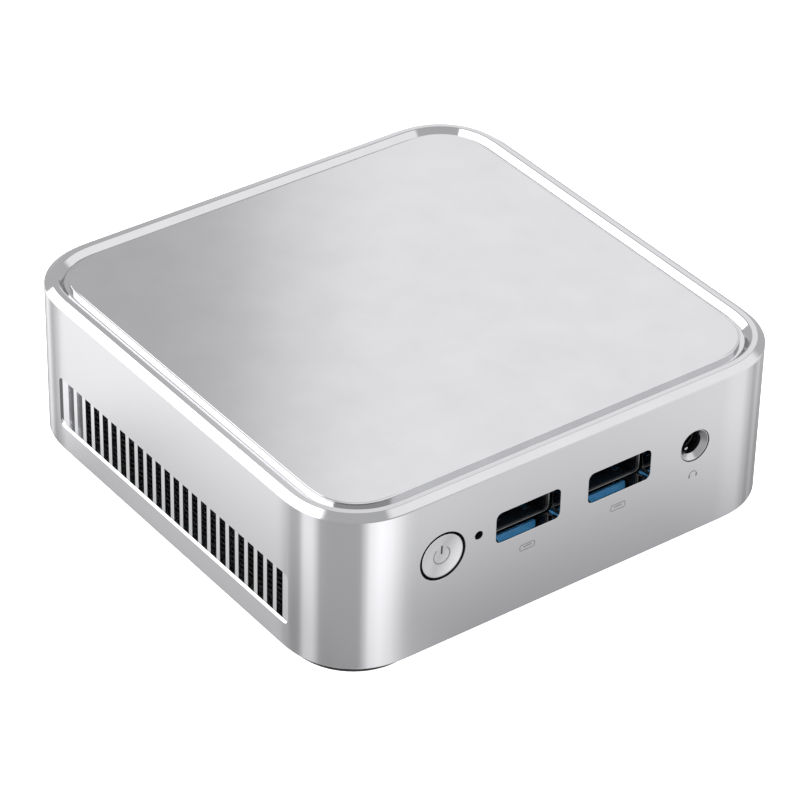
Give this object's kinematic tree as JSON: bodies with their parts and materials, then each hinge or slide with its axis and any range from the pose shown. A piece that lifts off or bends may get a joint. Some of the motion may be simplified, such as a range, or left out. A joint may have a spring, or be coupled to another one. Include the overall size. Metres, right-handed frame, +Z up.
{
  "type": "mini pc",
  "caption": "Palm-sized square desktop computer: satin aluminium case with rounded corners, slotted side vents, front USB-A and audio sockets, a push power button and a fan-cooled board.",
  "frame": {"origin": "on the surface it stands on, under the middle of the body", "axes": "+Z up; the front, with the power button and two USB-A sockets, faces -Y; the rear connectors face +Y; +X is to the right seen from the front"},
  "size_m": [0.105, 0.105, 0.035],
  "materials": {
    "satin_aluminium": "bead-blasted and clear anodised, satin",
    "black_plastic": "moulded, fine grain",
    "black_rubber": "matte",
    "screw_steel": "black zinc plated",
    "circuit_board": "green solder mask",
    "chip_black": "epoxy, matte",
    "fin_aluminium": "bare extrusion",
    "cell_steel": "nickel plated",
    "polished_steel": "bright nickel plated",
    "blue_plastic": "moulded, semi-gloss",
    "smoked_plastic": "clear smoked"
  },
  "bodies": {
    "case": {"housing_shell": "satin_aluminium", "top_cover": "satin_aluminium", "bottom_cover": "black_plastic", "dust_mesh_left": "black_plastic", "dust_mesh_right": "black_plastic", "fan_frame": "black_plastic", "memory_socket": "black_plastic", "drive_socket": "black_plastic", "wireless_socket": "black_plastic", "coin_cell_holder": "black_plastic", "switch_body": "black_plastic", "audio_jack_body": "black_plastic", "power_jack_body": "black_plastic", "video_socket_insulator": "black_plastic", "network_jack_insert": "black_plastic", "foot_front_left": "black_rubber", "foot_front_right": "black_rubber", "foot_rear_left": "black_rubber", "foot_rear_right": "black_rubber", "cover_screw_front_left": "screw_steel", "cover_screw_front_right": "screw_steel", "cover_screw_rear_left": "screw_steel", "cover_screw_rear_right": "screw_steel", "board_screw_front_left": "screw_steel", "board_screw_front_right": "screw_steel", "board_screw_rear_left": "screw_steel", "board_screw_rear_right": "screw_steel", "drive_screw": "screw_steel", "wireless_screw": "screw_steel", "motherboard": "circuit_board", "memory_module": "circuit_board", "drive_module": "circuit_board", "wireless_card": "circuit_board", "processor": "chip_black", "heatsink": "fin_aluminium", "coin_cell": "cell_steel", "usb_shell_front_1": "polished_steel", "usb_shell_front_2": "polished_steel", "usb_shell_rear_1": "polished_steel", "usb_shell_rear_2": "polished_steel", "audio_jack_sleeve": "polished_steel", "power_jack_pin": "polished_steel", "video_socket_shell": "polished_steel", "network_jack_cage": "polished_steel", "usb_insulator_front_1": "blue_plastic", "usb_insulator_front_2": "blue_plastic", "usb_insulator_rear_1": "blue_plastic", "usb_insulator_rear_2": "blue_plastic", "light_pipe": "smoked_plastic"},
    "button": {"power_button": "satin_aluminium", "switch_plunger": "black_plastic"},
    "rotor": {"fan_rotor": "black_plastic"}
  },
  "joints": [
    {"name": "power_button_press", "type": "slide", "parent": "case", "child": "button", "axis": [0, 1, 0], "range_m": [0, 0.0005], "stiffness_N_per_m": 2500},
    {"name": "fan_spin", "type": "hinge", "parent": "case", "child": "rotor", "pos_m": [0, 0, 0.0073], "axis": [0, 0, 1], "continuous": true}
  ]
}
